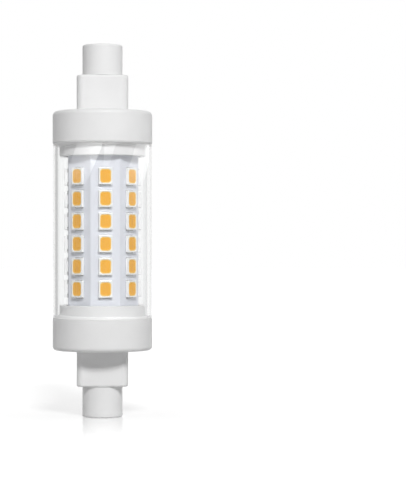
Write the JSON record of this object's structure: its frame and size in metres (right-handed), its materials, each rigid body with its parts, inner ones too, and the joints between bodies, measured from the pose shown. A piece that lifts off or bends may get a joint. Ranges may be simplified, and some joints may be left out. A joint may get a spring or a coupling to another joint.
{
  "type": "linear led bulb",
  "caption": "Short double-ended tubular LED bulb: white end caps with recessed pin contacts, a clear tube, and a folded white board covered in LEDs.",
  "frame": {"origin": "centre of the lower pin's end face, on the bulb's axis, where it stands", "axes": "+Z along the bulb's axis, from the lower pin to the upper one; +X along the wide way of the flattened collars; the front looks along +Y"},
  "size_m": [0.0208, 0.0208, 0.078],
  "materials": {
    "cap_plastic": "satin white moulding",
    "clear_plastic": "clear polished polycarbonate",
    "contact_steel": "polished stainless steel",
    "white_board": "white solder mask on aluminium",
    "led_housing": "white moulded package",
    "phosphor": "phosphor in clear silicone",
    "tinned_metal": "tin plated",
    "sleeve_film": "milky polyester film",
    "green_laminate": "glass fibre laminate with green mask",
    "black_epoxy": "moulded epoxy",
    "capacitor_cover": "shrunk plastic cover",
    "ferrite": "sintered ferrite",
    "copper": "bare or enamelled copper",
    "resistor_paint": "fireproof paint",
    "yellow_resin": "dipped resin",
    "wire_cover": "white insulation"
  },
  "bodies": {
    "root": {"bridge_rectifier": "black_epoxy", "chip_leads": "tinned_metal", "chip_resistors": "black_epoxy", "choke_core": "ferrite", "choke_winding": "copper", "clear_tube": "clear_plastic", "component_leads": "tinned_metal", "diode_terminals": "tinned_metal", "driver_board": "green_laminate", "driver_chip": "black_epoxy", "driver_sleeve": "sleeve_film", "film_capacitor": "yellow_resin", "filter_capacitor": "capacitor_cover", "flyback_diode": "black_epoxy", "fuse_resistor": "resistor_paint", "led_board": "white_board", "led_bodies_1": "led_housing", "led_bodies_2": "led_housing", "led_bodies_3": "led_housing", "led_bodies_4": "led_housing", "led_bodies_5": "led_housing", "led_bodies_6": "led_housing", "led_bodies_7": "led_housing", "led_bodies_8": "led_housing", "led_phosphors_1": "phosphor", "led_phosphors_2": "phosphor", "led_phosphors_3": "phosphor", "led_phosphors_4": "phosphor", "led_phosphors_5": "phosphor", "led_phosphors_6": "phosphor", "led_phosphors_7": "phosphor", "led_phosphors_8": "phosphor", "led_terminals_1": "tinned_metal", "led_terminals_2": "tinned_metal", "led_terminals_3": "tinned_metal", "led_terminals_4": "tinned_metal", "led_terminals_5": "tinned_metal", "led_terminals_6": "tinned_metal", "led_terminals_7": "tinned_metal", "led_terminals_8": "tinned_metal", "lower_contact": "contact_steel", "lower_end_cap": "cap_plastic", "lower_supply_core": "copper", "lower_supply_cover": "wire_cover", "output_wires": "wire_cover", "rectifier_leads": "tinned_metal", "resistor_ends": "tinned_metal", "upper_contact": "contact_steel", "upper_end_cap": "cap_plastic", "upper_supply_core": "copper", "upper_supply_cover": "wire_cover"}
  },
  "joints": []
}
